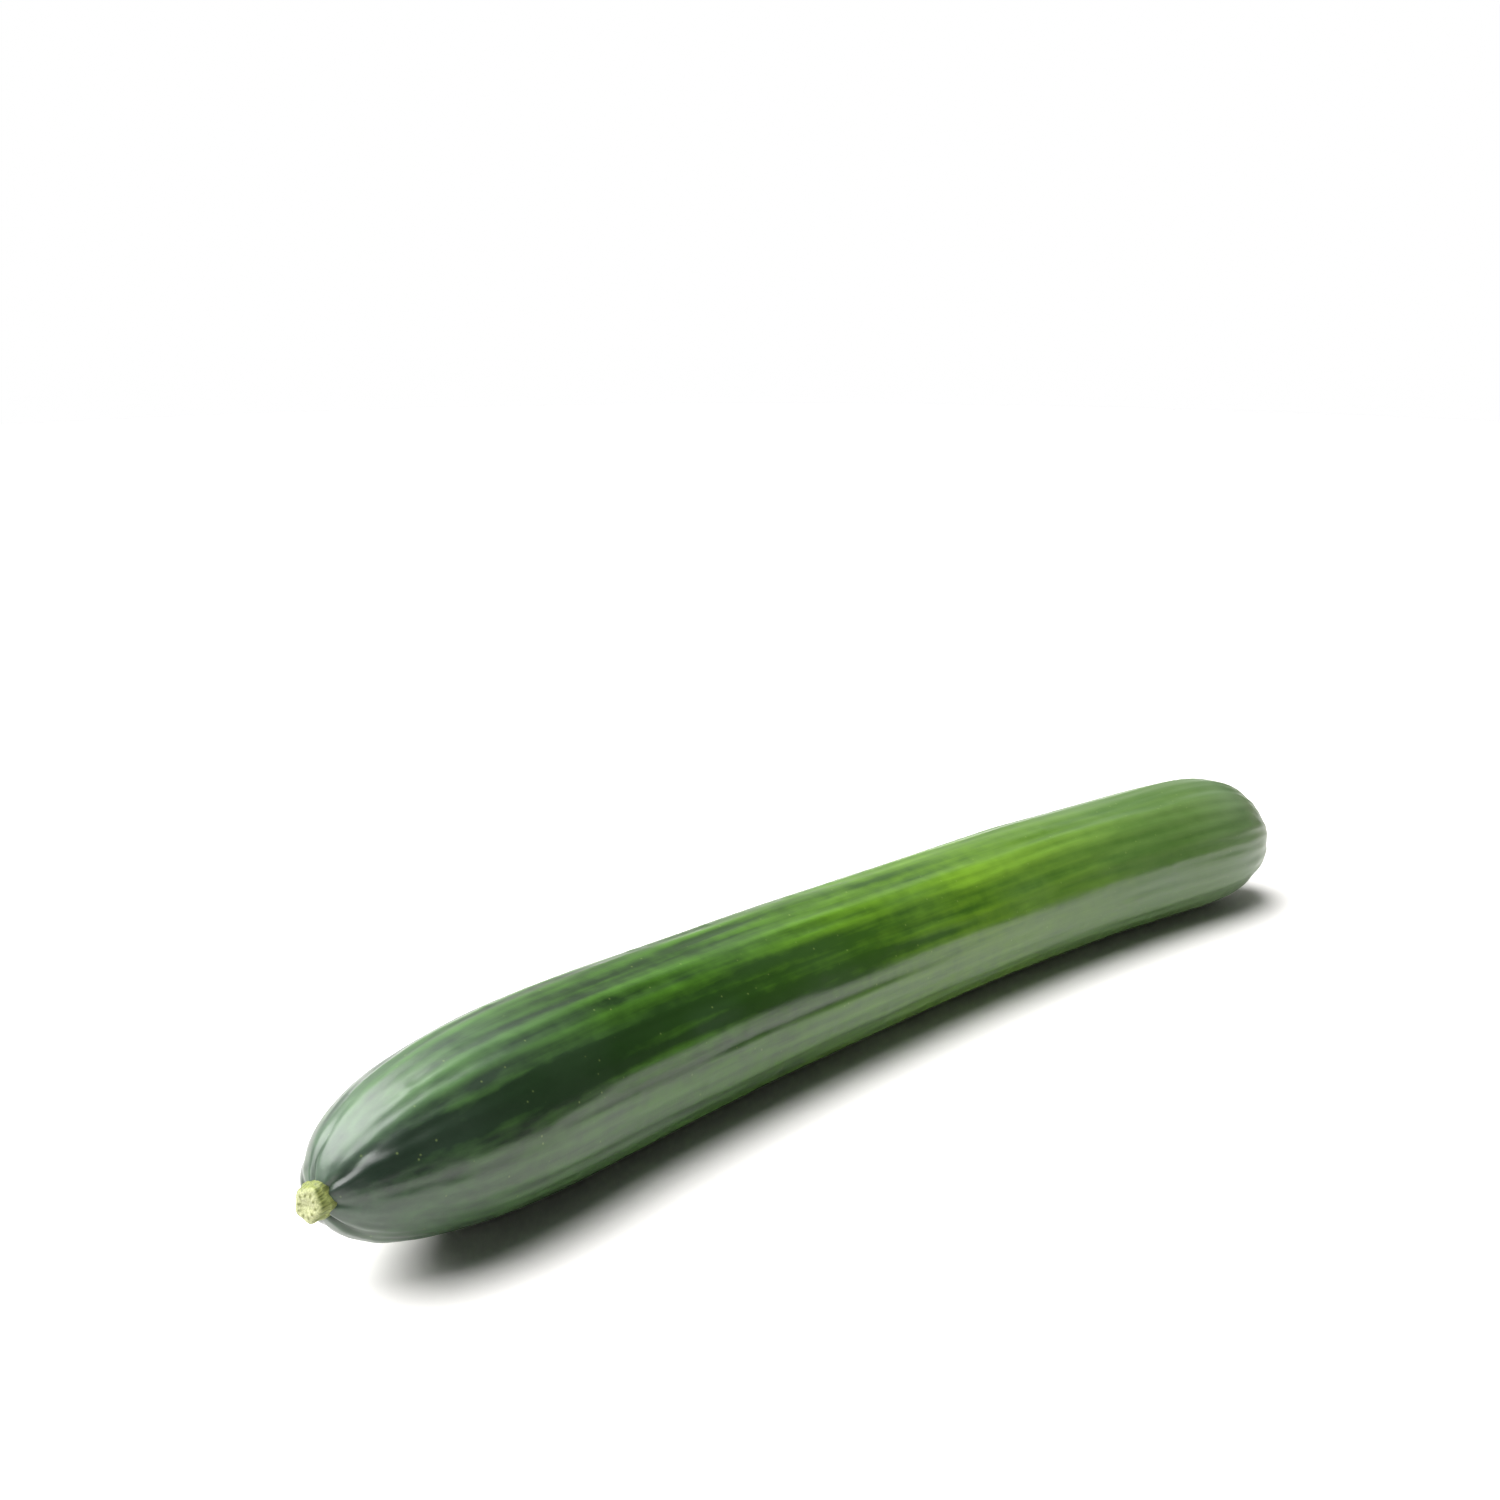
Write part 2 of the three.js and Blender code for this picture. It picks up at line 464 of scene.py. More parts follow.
@dataclass(frozen=True)
class CutStalk:
    """The fibrous stalk of the vine, cut across while it was fresh.

    The eye gets a pale moist cut face with a ring of darker sap vessels, olive sides with fine fibres, and
    a matte surface that lets a little light in.
    """

    side: Stops = ((0.3, "#4c572a"), (0.7, "#8b9352"))  # between the fibres and on them
    face: Stops = ((0.3, "#868a5e"), (0.7, "#b5b88f"))
    vessel: str = "#5f6432"
    fibre: Pair = (5.0, 0.35)  # length and width of a fibre, mm
    fineness: float = 0.5
    fibre_depth: float = 0.08  # mm
    roughness: float = 0.55
    glow: float = 0.15  # share of light that enters the flesh
    glow_tint: tuple[float, float, float] = (1.0, 1.0, 0.5)  # how far its red, green and blue go
    glow_depth: float = 1.2  # mm
    ior: float = 1.4

    def make(self) -> Material:
        """Builds the stalk's material.

        Returns:
            The material, which reads the marks straight, cut and vessel.
        """
        material, tree = new_material("cucumber_stalk_cut_fresh")
        straight = add_node(tree, "ShaderNodeAttribute", attribute_name="straight").outputs["Vector"]
        cut, vessel = (
            add_node(tree, "ShaderNodeAttribute", attribute_name=name).outputs["Fac"]
            for name in ("cut", "vessel")
        )
        fibres = drawn_out(tree, straight, self.fibre, octaves=3.0, fineness=self.fineness)
        side, face = (
            add_node(tree, "ShaderNodeValToRGB", {"Fac": fibres}, stops=stops).outputs["Color"]
            for stops in (self.side, self.face)
        )
        colour = side
        for amount, over in ((cut, face), (vessel, linear(self.vessel))):
            inputs = {FACTOR: amount, COLOUR_A: colour, COLOUR_B: over}
            colour = add_node(tree, "ShaderNodeMix", inputs, data_type="RGBA").outputs[COLOUR_OUT]
        raised = {"Height": fibres, "Strength": 1.0, "Distance": self.fibre_depth * MM}
        bump = add_node(tree, "ShaderNodeBump", raised)
        shader = add_node(
            tree,
            "ShaderNodeBsdfPrincipled",
            {
                "Base Color": colour,
                "Normal": bump.outputs["Normal"],
                "Roughness": self.roughness,
                "IOR": self.ior,
                "Subsurface Weight": self.glow,
                "Subsurface Radius": self.glow_tint,
                "Subsurface Scale": self.glow_depth * MM,
            },
        )
        add_node(tree, "ShaderNodeOutputMaterial", {"Surface": shader.outputs["BSDF"]})
        return material


@dataclass(frozen=True)
class WhiteLaminate:
    """A white pressed laminate, matte, which throws its light back up under the fruit."""

    colour: str = "#eceae8"
    roughness: float = 0.6
    shine: float = 0.2

    def make(self) -> Material:
        """Builds the table top's material.

        Returns:
            The material, which is the same all over.
        """
        material, tree = new_material("white_laminate_pressed_matte")
        shader = add_node(
            tree,
            "ShaderNodeBsdfPrincipled",
            {
                "Base Color": linear(self.colour),
                "Roughness": self.roughness,
                "Specular IOR Level": self.shine,
            },
        )
        add_node(tree, "ShaderNodeOutputMaterial", {"Surface": shader.outputs["BSDF"]})
        return material


@dataclass(frozen=True)
class LitPaper:
    """White backdrop paper under even light, which shows the eye no texture at all."""

    colour: str = "#ffffff"

    def make(self) -> Material:
        """Builds the backdrop's material.

        Returns:
            The material, which glows evenly.
        """
        material, tree = new_material("white_backdrop_paper")
        glow = add_node(tree, "ShaderNodeEmission", {"Color": linear(self.colour), "Strength": 1.0})
        add_node(tree, "ShaderNodeOutputMaterial", {"Surface": glow.outputs["Emission"]})
        return material


# --- The cucumber ---


@dataclass(frozen=True)
class RoundedEnd:
    """How one end of the fruit rounds off, as a superellipse does."""

    reach: float  # share of the fruit that it takes
    power: float  # how blunt it is

    def width(self, from_tip: Array) -> Array:
        """Grows from 0 at the tip to 1 at its reach: the root of 1 - (1 - share / reach)^power."""
        remaining = np.clip(1 - from_tip / self.reach, 0, 1)
        return np.sqrt(1 - remaining**self.power)


@dataclass(frozen=True)
class SkinGrid:
    """The places where the skin is worked out, as rows along the fruit by columns round it."""

    share: Array  # a column
    from_stalk: Array  # distance from the stalk's tip along the skin, mm, a column
    to_blossom: Array  # distance on to the other tip, mm, a column
    radius: Array  # of the plain body, mm, a column
    turn: Array  # a row
    level: Array  # the turn's sine, from -1 underneath to 1 on top, a row
    wound: Array  # the turn, moved on as the ribs wind round
    straight: Array  # x, y and z on the straightened fruit, mm


@dataclass(frozen=True)
class SkinFeatures:
    """How strong each feature is at each place of the skin: from 0 to 1, but for the thin ribs."""

    ribbed: Array  # 0 at the tips, where no ribs are
    furrow: Array
    fine: Array  # the thin ribs, from -1 to 1
    groove: Array
    crease: Array
    scar: Array


@dataclass(frozen=True)
class SkinTones:
    """How the lightness of the green and the grey veil change over the skin. The green holds a band of
    painted shade, and the veil is partly wax bloom and partly painted reflection.

    An edge is the two levels, as sines of the turn, between which something changes.
    """

    clouds: tuple[Grain, ...] = (
        Grain(130, 8, seed=71, height=0.26), Grain(80, 3.4, seed=72, height=0.2),
        Grain(42, 6, seed=74, height=0.27),
    )
    # Paler rib crests and darker furrows are partly the skin's own stripes and partly painted light and shade
    # that follow the relief.
    crest_light: float = 0.26  # what a thin rib adds
    furrow_shade: float = 0.25
    lift: float = 0.08
    top_edge: Pair = (0.0, 0.5)
    evenness: float = 0.3  # how much of all that is left below the top
    # The deep green band is painted shade on the flank turned away from the key light.
    shade_band_turn: float = math.radians(35)  # of the deep green band on the hollow side
    shade_band_width: float = math.radians(13)
    shade_band_fade: Pair = (0.36, 0.55)  # shares between which it fades out
    shade_band_depth: float = 0.62

    # The veil is thin wax bloom; laid thick on top near the stalk, at the blossom end and low down, it is
    # also painted reflection.
    stalk_veil: float = 0.03
    stalk_reach: Pair = (0.0, 0.24)  # shares between which it thins out
    crown_veil_and_highlight: float = 0.2  # that it has more of on top
    crown_edge: Pair = (0.7, 0.95)
    blossom_veil_and_reflection: float = 0.2
    blossom_reach: Pair = (0.85, 1.0)
    low_veil_and_reflection: float = 0.07
    low_edge: Pair = (-0.1, 0.3)
    veil_cloud: Grain = Grain(20, 9, seed=73, height=0.04)

    def light(self, at: SkinGrid, on: SkinFeatures) -> Array:
        """How far the green is from the deep one to the bright one, before the streaks.

        Rib crests are paler and furrows deeper, partly the skin's own stripes and partly painted light and
        shade that follow the relief. Long clouds drift along, a band of painted shade on the flank turned
        away from the key light lies on the hollow side as a bell curve across turns, and the sides towards
        the table are more even than the top.

        Args:
            at: the places of the skin.
            on: the features on them.

        Returns:
            Lightness, about 0 on average.
        """
        clouds = sum(cloud.at(at.straight) for cloud in self.clouds)
        marked = self.crest_light * on.fine + clouds - self.furrow_shade * on.furrow + self.lift
        lively = self.evenness + (1 - self.evenness) * smoothstep(at.level, *self.top_edge)
        across = bell(wrapped(at.wound - self.shade_band_turn), self.shade_band_width)
        return lively * marked - self.shade_band_depth * across * (1 - smoothstep(at.share, *self.shade_band_fade))

    def bloom_and_reflection(self, at: SkinGrid) -> Array:
        """How thick the grey veil is: thin wax bloom all over, and painted reflection where it is thickest,
        on top near the stalk, at the blossom end and low down.

        Args:
            at: the places of the skin.

        Returns:
            The veil's share of the colour, from 0 to 1.
        """
        crown = self.stalk_veil + self.crown_veil_and_highlight * smoothstep(at.level, *self.crown_edge)
        near_stalk = crown * (1 - smoothstep(at.share, *self.stalk_reach))
        near_blossom = self.blossom_veil_and_reflection * smoothstep(at.share, *self.blossom_reach)
        low = self.low_veil_and_reflection * (1 - smoothstep(at.level, *self.low_edge))
        return np.clip(near_stalk + near_blossom + low + self.veil_cloud.at(at.straight), 0, 1)


@dataclass
class Fruit:
    """The fruit: a shoulder that slims to an even body, bowed sideways, ribbed, and flat where it lies."""

    # The plain body
    span: float = 336.0  # straight line from end to end
    shoulder_radius: float = 21.5
    body_radius: float = 20.0
    slimming: Pair = (0.18, 0.62)  # shares between which it slims
    stalk_end: RoundedEnd = RoundedEnd(reach=0.19, power=2.55)
    blossom_end: RoundedEnd = RoundedEnd(reach=0.125, power=3.2)
    rise: float = 4.1  # how far the stalk end turns up
    rise_reach: float = 0.3  # share of the fruit that does
    bow: float = 17.0  # how far the middle stands to the side of the straight line
    bow_power: float = 2.6  # 2 would be a parabola, and more is straighter in the middle
    base_flat: float = 0.35  # depth that the underside gives
    base_softness: float = 0.15  # over which the flat underside turns into the round side
    lumps: tuple[Grain, ...] = (
        Grain(38, 16, seed=1, height=0.35), Grain(55, 4.5, seed=2, height=0.16),
        Grain(18, 1.9, seed=3, height=0.09),
    )

    # Ribs, lobes and furrows. A stray is how many radians of turn something wanders to either side.
    ribs: int = 10
    rib_height: float = 0.5
    lobes: int = 3  # one for each seed chamber
    lobe_height: float = 0.5
    winding: float = 0.2  # radians that ribs and lobes wind round from end to end
    stalk_onset: Pair = (3.0, 30.0)  # distances from the stalk's tip in which ribs rise
    blossom_onset: Pair = (3.0, 22.0)  # and from the other tip
    furrow_turn: float = math.radians(13)  # turn of the furrow on the hollow side
    furrow_depth: float = 0.5
    furrow_narrowness: float = 2.5
    furrow_strength: Pair = (0.45, 1.0)  # of the weakest and the strongest
    furrow_seed: int = 4
    hollow_strength: float = 0.75  # of the one on the hollow side
    furrow_stray: Grain = Grain(60, 30, seed=11, height=0.05)
    furrow_swell: Grain = Grain(45, 16, seed=12, height=0.3)
    fine_ribs: int = 29
    fine_rib_height: float = 0.13
    fine_rib_stray: Grain = Grain(35, 14, seed=21, height=0.05)
    fine_rib_swell: Grain = Grain(30, 10, seed=22, height=0.5)

    # The one narrow groove in the hollow side's furrow
    groove_turn: float = math.radians(12)
    groove_width: float = 0.9
    groove_depth: float = 0.26
    groove_start: Pair = (0.08, 0.3)  # shares between which it deepens
    groove_end: Pair = (0.4, 0.6)  # and between which it fades
    groove_shade: float = 0.6
    groove_stray: Grain = Grain(40, 60, seed=24, height=0.03)

    # Creases that run out from the stalk
    creases: int = 7
    crease_depth: float = 1.0
    crease_narrowness: float = 4.0
    crease_strength: Pair = (0.35, 1.0)  # of the weakest and the strongest
    crease_seed: int = 32
    crease_onset: Pair = (1.0, 4.0)  # distances from the tip in which they open
    crease_start: float = 4.5  # distance of the stalk's edge, where they begin to die away
    crease_fade: float = 10.0  # distance in which they do
    crease_shade: float = 0.75
    crease_stray: Grain = Grain(14, 6, seed=31, height=1.3)  # radians, with a full turn between creases

    # The blossom end: a dimple with puckered sides, the scar in it and pale stripes round it
    dimple_radius: float = 5.0
    dimple_depth: float = 0.9
    pucker_depth: float = 0.3
    pucker_narrowness: float = 2.0
    pucker_onset: Pair = (2.0, 5.0)
    pucker_fade: float = 9.0
    scar_core: float = 1.5
    scar_radius: float = 2.3
    scar_height: float = 0.4
    scar_edge: Grain = Grain(2, 1.5, seed=52, height=0.5)
    stripe_light: float = 0.7
    stripe_narrowness: float = 3.0
    stripe_onset: Pair = (2.0, 8.0)
    stripe_fade: float = 26.0

    # Faint warts where spines once stood
    wart_spacing: Pair = (13.0, 8.0)  # along and round the fruit
    wart_radius: float = 1.5
    wart_height: float = 0.16
    wart_jitter: Pair = (0.2, 0.8)  # where in its cell one may stand
    wart_sizes: Pair = (-0.5, 1.0)  # drawn between these, and below 0 there is none
    wart_rows: int = 64  # before they repeat
    wart_seed: int = 41

    tones: SkinTones = SkinTones()
    mean_pattern: float = 0.42  # what the skin's own patterns add to the lightness on average
    rows: int = 430
    columns: int = 224
    trials: int = 20  # steps for each row, when its place is worked out

    def girth(self, share: Array) -> Array:
        """Radius without the rounded ends: the shoulder's, easing to the body's."""
        slimmed = smoothstep(share, *self.slimming)
        return self.shoulder_radius + (self.body_radius - self.shoulder_radius) * slimmed

    def outline(self, share: Array) -> Array:
        """Radius of the plain body: its girth times how far both ends have rounded out."""
        return self.girth(share) * self.stalk_end.width(share) * self.blossom_end.width(1 - share)

    def underside(self, share: Array) -> Array:
        """What the plain ribs and lobes add to the radius underneath, as half of each cosine."""
        turn = -math.pi / 2 + self.winding * share
        return (self.rib_height * np.cos(self.ribs * turn) + self.lobe_height * np.cos(self.lobes * turn)) / 2

    def axis(self, share: Array) -> tuple[Array, Array]:
        """The middle line of the fruit, which bows to the side and turns up towards the stalk.

        It stands off the straight line by bow * (1 - |2 share - 1|^power), and it rises by
        rise * (1 - share / reach)^2 over the height at which the body rests on the table.

        Args:
            share: places along the fruit.

        Returns:
            The points of the line in mm, and the level unit directions along it.
        """
        off = 2 * share - 1
        rise = self.rise * np.clip(1 - share / self.rise_reach, 0, 1) ** 2
        height = self.girth(share) + self.underside(share) - self.base_flat + rise
        sideways = self.bow * (1 - np.abs(off) ** self.bow_power)
        points = np.stack([self.span * (share - 0.5), sideways, height], -1)
        slope = -2 * self.bow * self.bow_power * np.sign(off) * np.abs(off) ** (self.bow_power - 1)
        along = np.stack([np.full_like(share, self.span), slope, np.zeros_like(share)], -1)
        return points, along / np.linalg.norm(along, axis=-1, keepdims=True)

    def grid(self) -> SkinGrid:
        """Sets out rows that are evenly spaced along the skin, from tip to tip.

        The distance along the skin is the sum of small steps hypot(step in x, step in radius).

        Returns:
            The places of the skin.
        """
        trial = (1 - np.cos(np.linspace(0, math.pi, self.trials * self.rows))) / 2
        steps = np.hypot(np.diff(self.span * trial), np.diff(self.outline(trial)))
        walked = np.concatenate([[0], np.cumsum(steps)])
        from_stalk = np.linspace(0, walked[-1], self.rows + 1)[:, None]
        share = np.interp(from_stalk, walked, trial)
        radius = self.outline(share)
        turn = np.linspace(0, TAU, self.columns, endpoint=False)[None, :]
        straight = np.broadcast_arrays(share * self.span, radius * np.cos(turn), radius * np.sin(turn))
        return SkinGrid(
            share=share,
            from_stalk=from_stalk,
            to_blossom=walked[-1] - from_stalk,
            radius=radius,
            turn=turn,
            level=np.sin(turn),
            wound=turn + self.winding * share,
            straight=np.stack(straight, -1),
        )

    def furrows(self, at: SkinGrid) -> Array:
        """Long shallow valleys between the ribs, each with a strength of its own that swells and fades.

        Args:
            at: the places of the skin.

        Returns:
            Depth from 0 on a rib to about 1 in the deepest furrow.
        """
        phase = self.ribs * (at.wound + self.furrow_stray.at(at.straight) - self.furrow_turn)
        strength = np.random.default_rng(self.furrow_seed).uniform(*self.furrow_strength, self.ribs)
        strength[0] = self.hollow_strength
        swell = self.furrow_swell.below_one(at.straight)
        return comb(phase, self.furrow_narrowness) * nearest(phase, strength) * swell

    def fine_ribbing(self, at: SkinGrid) -> Array:
        """Thin ribs between the furrows as a cosine that swells and fades, from -1 to 1."""
        strayed = at.wound + self.fine_rib_stray.at(at.straight)
        return np.cos(self.fine_ribs * strayed) * self.fine_rib_swell.below_one(at.straight)

    def groove(self, at: SkinGrid) -> Array:
        """The narrow groove on the hollow side: a bell curve across the arc, which deepens and fades.

        Args:
            at: the places of the skin.

        Returns:
            Depth from 0 to 1.
        """
        arc = wrapped(at.wound + self.groove_stray.at(at.straight) - self.groove_turn) * self.body_radius
        strength = smoothstep(at.share, *self.groove_start) * (1 - smoothstep(at.share, *self.groove_end))
        return bell(arc, self.groove_width) * strength

    def stalk_creases(self, at: SkinGrid) -> Array:
        """Narrow creases that run out from the stalk and die away as exp(-distance / fade).

        Args:
            at: the places of the skin.

        Returns:
            Depth from 0 to 1.
        """
        phase = self.creases * at.turn + self.crease_stray.at(at.straight)
        strength = np.random.default_rng(self.crease_seed).uniform(*self.crease_strength, self.creases)
        fading = np.exp(-np.maximum(at.from_stalk - self.crease_start, 0) / self.crease_fade)
        opening = smoothstep(at.from_stalk, *self.crease_onset)
        return comb(phase, self.crease_narrowness) * nearest(phase, strength) * fading * opening

    def warts(self, at: SkinGrid) -> Array:
        """Faint round warts: one bell curve in most cells of a jittered grid.

        Args:
            at: the places of the skin.

        Returns:
            Height from 0 to 1.
        """
        length, width = self.wart_spacing
        around = int(TAU * self.body_radius / width)
        u, v = np.broadcast_arrays(at.share * self.span / length, at.turn / TAU * around)
        random = np.random.default_rng(self.wart_seed)
        jitter = random.uniform(*self.wart_jitter, (2, self.wart_rows, around))
        size = np.clip(random.uniform(*self.wart_sizes, (self.wart_rows, around)), 0, 1)
        height = np.zeros(u.shape)
        for beside in itertools.product((-1, 0, 1), repeat=2):
            along = np.floor(u).astype(int) + beside[0]
            across = np.floor(v).astype(int) + beside[1]
            cell = along % self.wart_rows, across % around
            apart = np.hypot((along + jitter[0][cell] - u) * length, (across + jitter[1][cell] - v) * width)
            height += size[cell] * bell(apart, self.wart_radius)
        return height

    def features(self, at: SkinGrid) -> SkinFeatures:
        """Works out the skin's features, with ribs and furrows only between the rounded ends.

        Args:
            at: the places of the skin.

        Returns:
            The features.
        """
        past_tips = smoothstep(at.from_stalk, *self.stalk_onset)
        past_tips = past_tips * smoothstep(at.to_blossom, *self.blossom_onset)
        ragged = at.to_blossom + self.scar_edge.at(at.straight)
        return SkinFeatures(
            ribbed=past_tips,
            furrow=self.furrows(at) * past_tips,
            fine=self.fine_ribbing(at) * past_tips,
            groove=self.groove(at),
            crease=self.stalk_creases(at),
            scar=1 - smoothstep(ragged, self.scar_core, self.scar_radius),
        )

    def relief(self, at: SkinGrid, on: SkinFeatures) -> Array:
        """What stands out from the plain body less what is sunk into it, each as a height times its feature.

        Args:
            at: the places of the skin.
            on: the features on them.

        Returns:
            The relief in mm.
        """
        pucker = comb(self.ribs * at.turn, self.pucker_narrowness)
        pucker = pucker * dying(at.to_blossom, self.pucker_onset, self.pucker_fade)
        lobed = self.lobe_height / 2 * np.cos(self.lobes * at.wound) + self.wart_height * self.warts(at)
        raised = (
            lobed * on.ribbed
            + self.rib_height / 2
            + self.fine_rib_height * on.fine
            + self.scar_height * on.scar
            + sum(lump.at(at.straight) for lump in self.lumps)
        )
        sunk = (
            self.furrow_depth * on.furrow
            + self.groove_depth * on.groove
            + self.crease_depth * on.crease
            + self.dimple_depth * bell(at.to_blossom, self.dimple_radius)
            + self.pucker_depth * pucker
        )
        return raised - sunk

    def lay(self, at: SkinGrid, relief: Array) -> Array:
        """Raises the relief along the plain body's normal, bends the body along its axis and lays it flat.

        A point is axis + (radius + relief * n_out) * (side * cos turn + up * sin turn) + relief * n_along *
        direction. The underside is softly held at the table by z' = (z + sqrt(z^2 + softness^2)) / 2.

        Args:
            at: the places of the skin.
            relief: how far the skin stands out there, mm.

        Returns:
            The skin's points, mm.
        """
        rise = np.gradient(at.radius[:, 0], at.from_stalk[:, 0])[:, None]
        run = np.gradient(self.span * at.share[:, 0], at.from_stalk[:, 0])[:, None]
        slant = np.hypot(rise, run)
        wide = at.radius + relief * run / slant
        wide[[0, -1]] = 0  # each tip is one point
        forward = -relief * rise / slant
        centre, along = self.axis(at.share)
        side = np.cross(along, UP)
        points = (
            centre
            + (wide * np.cos(at.turn))[..., None] * side
            + (wide * np.sin(at.turn))[..., None] * UP
            + forward[..., None] * along
        )
        z = points[..., 2]
        points[..., 2] = (z + np.sqrt(z**2 + self.base_softness**2)) / 2
        return points

    def marks(self, at: SkinGrid, on: SkinFeatures) -> dict[str, Array]:
        """What the skin's material reads from its points.

        Args:
            at: the places of the skin.
            on: the features on them.

        Returns:
            The marks by name.
        """
        stripe = comb(self.ribs * (at.wound - self.furrow_turn) + math.pi, self.stripe_narrowness)
        stripe = stripe * dying(at.to_blossom, self.stripe_onset, self.stripe_fade)
        return {
            "straight": at.straight * MM,
            "light": self.tones.light(at, on) + self.stripe_light * stripe - self.mean_pattern,
            "bloom_and_reflection": self.tones.bloom_and_reflection(at),
            "fold": np.clip(self.crease_shade * on.crease + self.groove_shade * on.groove, 0, 1),
            "scar": on.scar,
        }

    def build(self) -> tuple[Piece, Vector]:
        """Makes the skin and centres it over its CAD node.

        Returns:
            The piece, and the shift in mm that centred it, which the stalk needs too.
        """
        at = self.grid()
        on = self.features(at)
        points = self.lay(at, self.relief(at, on))
        low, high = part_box("fruit")
        middle = (points.min((0, 1)) + points.max((0, 1))) / 2
        shift = (low + high) / 2 / MM - Vector(middle)
        shift.z = 0
        return closed_mesh("cucumber_skin", points + np.array(shift), self.marks(at, on)), shift

    def dress(self, piece: Piece) -> None:
        """Gives the piece its skin, and lets it stand for the CAD fruit."""
        settle(piece, "fruit", WaxedSkin(length=self.span).make())


@dataclass
class StalkStub:
    """The stub that stays on the fruit: a ridged stem with a flared foot and an uneven cut."""

    foot_radius: float = 3.9
    neck_radius: float = 3.3
    cut_radius: float = 3.6
    length: float = 2.6
    flare: float = 0.7  # height over which the foot narrows to the neck
    rounding: float = 0.9  # of the cut edge
    sunk: float = 2.4  # how deep the foot reaches into the fruit
    sides: int = 5
    ridge_share: float = 0.07  # how far the ridges stand out, as a share of the radius
    ridge_grain: Grain = Grain(4, 0.7, seed=61, height=0.02)  # as a share of the radius too
    slant: float = 0.2  # rise of the cut from its upper edge to its lower one, for each mm
    cut_grain: Grain = Grain(9, 1.2, seed=63, height=0.22)

    # The soft pith in the middle of the cut sinks in, and a ring of vessels stands out round it.
    pith_depth: float = 0.5
    pith_width: float = 0.35  # as a share of the cut's radius, like the ring's place and width
    vessels: int = 10
    vessel_ring: float = 0.6
    vessel_width: float = 0.12
    vessel_narrowness: float = 2.0
    vessel_height: float = 0.12
    vessel_stray: Grain = Grain(2, 2, seed=62)

    foot_rows: float = 0.12  # share of the rows at which the foot ends
    side_rows: float = 0.62  # and the side
    edge_rows: float = 0.72  # and the rounded edge
    rows: int = 96
    columns: int = 120

    def outline(self) -> tuple[Array, Array, Array]:
        """The stub's outline, from the middle of its foot, up its side and in over the cut.

        The side's radius is neck + (foot - neck) * exp(-height / flare) + (cut - neck) * (height / length)^2.

        Returns:
            The radius and height of each row, and how far it is onto the cut face, from 0 to 1.
        """
        t = np.linspace(0, 1, self.rows + 1)
        stretches = ((0, self.foot_rows), (self.foot_rows, self.side_rows), (self.side_rows, self.edge_rows))
        foot, rise, bend = (np.interp(t, stretch, (0, 1)) for stretch in stretches)
        inwards = np.interp(t, (self.edge_rows, 1), (0, 1))
        height = -self.sunk + rise * (self.sunk + self.length - self.rounding)
        above = np.maximum(height, 0)
        radius = (
            self.neck_radius
            + (self.foot_radius - self.neck_radius) * np.exp(-above / self.flare)
            + (self.cut_radius - self.neck_radius) * (above / self.length) ** 2
        )
        radius = radius - self.rounding * (1 - np.cos(bend * math.pi / 2))
        height = height + self.rounding * np.sin(bend * math.pi / 2)
        return radius * foot * (1 - inwards), height, bend

    def build(self, fruit: Fruit, shift: Vector) -> Piece:
        """Turns the outline round the stalk's axis, ridges it, and breaks the cut face up.

        A point is tip - height * direction + radius * (side * cos turn + up * sin turn), with the radius
        times 1 + ridge * cos(sides * turn) and the height less slant * radius * sin turn.

        Args:
            fruit: the fruit that the stub grows from.
            shift: where the fruit was moved to, in mm.

        Returns:
            The piece.
        """
        radius, height, onto_cut = (values[:, None] for values in self.outline())
        turn = np.linspace(0, TAU, self.columns, endpoint=False)[None, :]
        straight = np.stack(np.broadcast_arrays(height, radius * np.cos(turn), radius * np.sin(turn)), -1)
        ridges = self.ridge_share * np.cos(self.sides * turn) + self.ridge_grain.at(straight)
        wide = radius * (1 + ridges)

        from_middle = radius / self.cut_radius
        vessel = comb(self.vessels * turn + self.vessel_stray.at(straight), self.vessel_narrowness)
        vessel = vessel * bell(from_middle - self.vessel_ring, self.vessel_width) * onto_cut
        pith = bell(from_middle, self.pith_width)
        cut = self.cut_grain.at(straight) - self.pith_depth * pith + self.vessel_height * vessel
        tilt = self.slant * wide * np.sin(turn) * smoothstep(height, 0, self.length)
        tall = height - tilt + onto_cut * cut

        tip, along = (values[0] for values in fruit.axis(np.array([0.0])))
        points = (
            tip
            + np.array(shift)
            - tall[..., None] * along
            + (wide * np.cos(turn))[..., None] * np.cross(along, UP)
            + (wide * np.sin(turn))[..., None] * UP
        )
        points[[0, -1]] = points[[0, -1]].mean(1, keepdims=True)
        marks = {"straight": straight * MM, "cut": np.broadcast_to(onto_cut, wide.shape), "vessel": vessel}

        # The stalk grows against the fruit's axis, so its columns run the other way round.
        marks = {name: mark[:, ::-1] for name, mark in marks.items()}
        return closed_mesh("stalk_stub", points[:, ::-1], marks)

    def dress(self, piece: Piece) -> None:
        """Gives the piece its cut stalk, and lets it stand for the CAD stub."""
        settle(piece, "stem_stub", CutStalk().make())


# --- The studio ---


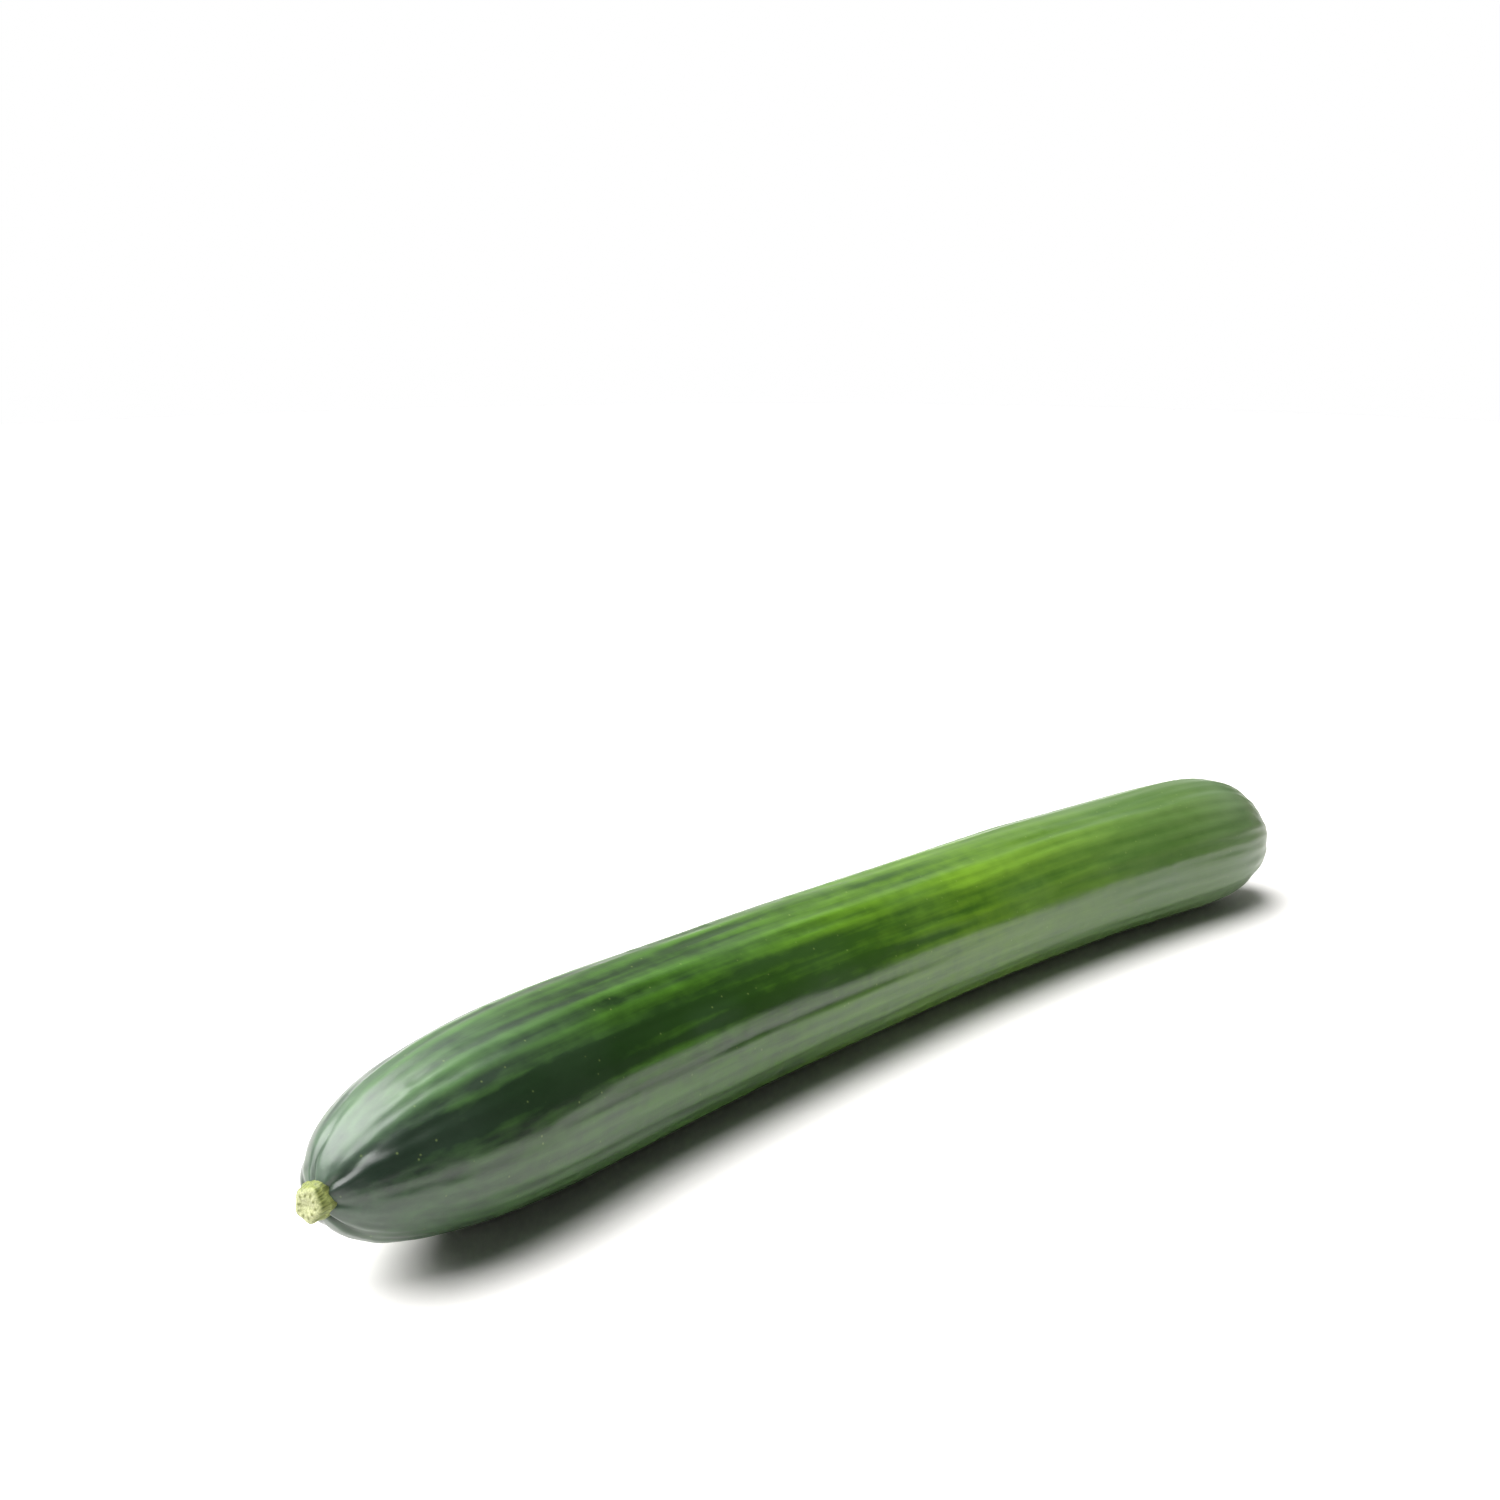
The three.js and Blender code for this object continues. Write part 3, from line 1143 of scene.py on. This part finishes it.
@dataclass(frozen=True)
class Softbox:
    """A square lamp with an even white front, aimed at the cucumber."""

    name: str
    size: float
    distance: float
    azimuth: float  # degrees round from +X towards +Y
    elevation: float  # degrees
    power: float  # watts

    def build(self) -> None:
        """Hangs the lamp, unseen by the camera itself."""
        azimuth, elevation = math.radians(self.azimuth), math.radians(self.elevation)
        level = math.cos(elevation)
        away = Vector((math.cos(azimuth) * level, math.sin(azimuth) * level, math.sin(elevation)))
        lamp = bpy.data.lights.new(self.name, "AREA")
        lamp.shape = "SQUARE"
        lamp.size = self.size * MM
        lamp.energy = self.power
        holder = bpy.data.objects.new(self.name, lamp)
        holder.location = away * self.distance * MM
        holder.rotation_euler = away.to_track_quat("Z", "Y").to_euler()
        holder.visible_camera = False
        bpy.context.scene.collection.objects.link(holder)


@dataclass
class Studio:
    """A white table in a dim white room: the camera, a large softbox from behind and a weak card."""

    lens: float = 43.2  # on a sensor 36 mm wide
    heading: float = 43.8  # degrees from +Y towards +X that the camera looks along
    tilt: float = 16.7  # degrees downwards
    back: float = 430.4  # from the middle of the cucumber, against the heading
    aside: float = 28.2  # to the left of it
    height: float = 207.5
    table_radius: float = 1600.0
    table_sides: int = 96
    dome_radius: float = 9000.0
    dome_rows: int = 25
    dome_columns: int = 48
    room_light: float = 0.06  # what the dim side of the room sends back
    key: Softbox = Softbox("key_softbox", 3200, 2500, azimuth=138, elevation=60, power=275)
    card: Softbox = Softbox("back_card", 4400, 3200, azimuth=58, elevation=20, power=26)

    def stand_camera(self) -> None:
        """Puts the camera in front of the stalk end and makes it the scene's."""
        heading = math.radians(self.heading)
        forward = Vector((math.sin(heading), math.cos(heading), 0))
        left = Vector((-forward.y, forward.x, 0))
        lens = bpy.data.cameras.new("camera")
        lens.lens = self.lens
        camera = bpy.data.objects.new("camera", lens)
        camera.location = (left * self.aside - forward * self.back + Vector((0, 0, self.height))) * MM
        camera.rotation_euler = (math.radians(90 - self.tilt), 0, -heading)
        bpy.context.scene.collection.objects.link(camera)
        bpy.context.scene.camera = camera

    def lay_table(self) -> None:
        """Lays a round table top, level with the underside of the fruit."""
        turn = np.linspace(0, TAU, self.table_sides, endpoint=False)
        rim = np.stack([np.cos(turn), np.sin(turn), np.zeros_like(turn)], -1) * self.table_radius * MM
        mesh = bpy.data.meshes.new("table_top")
        mesh.from_pydata(rim.tolist(), [], [list(range(self.table_sides))])
        table = bpy.data.objects.new("table_top", mesh)
        table.data.materials.append(WhiteLaminate().make())
        bpy.context.scene.collection.objects.link(table)

    def hang_backdrop(self) -> None:
        """Hangs a white dome behind everything, which only the camera sees.

        A point of it is radius * (sin rise * cos turn, sin rise * sin turn, -cos rise).
        """
        rise = np.linspace(0, math.pi, self.dome_rows)[:, None]
        turn = np.linspace(0, TAU, self.dome_columns, endpoint=False)[None, :]
        ball = np.broadcast_arrays(np.sin(rise) * np.cos(turn), np.sin(rise) * np.sin(turn), -np.cos(rise))
        dome = closed_mesh("backdrop", np.stack(ball, -1) * self.dome_radius, {})
        dome.data.materials.append(LitPaper().make())
        dome.visible_diffuse = False
        dome.visible_glossy = False
        dome.visible_transmission = False
        dome.visible_shadow = False

    def dim_room(self) -> None:
        """Fills the room with weak white light from all round."""
        world = bpy.data.worlds.new("dim_room")
        world.use_nodes = True
        background = world.node_tree.nodes["Background"]
        background.inputs["Color"].default_value = linear("#ffffff")
        background.inputs["Strength"].default_value = self.room_light
        bpy.context.scene.world = world

    def build(self) -> None:
        """Sets the whole studio up."""
        self.stand_camera()
        self.lay_table()
        self.hang_backdrop()
        self.dim_room()
        self.key.build()
        self.card.build()
        bpy.context.scene.view_settings.view_transform = "Standard"


def main() -> None:
    """Builds the studio, the fruit and its stalk."""
    logging.basicConfig(level=logging.INFO, format="%(name)s: %(message)s")
    Studio().build()
    fruit = Fruit()
    skin, shift = fruit.build()
    fruit.dress(skin)
    stub = StalkStub()
    stub.dress(stub.build(fruit, shift))


if __name__ == "__main__":
    main()
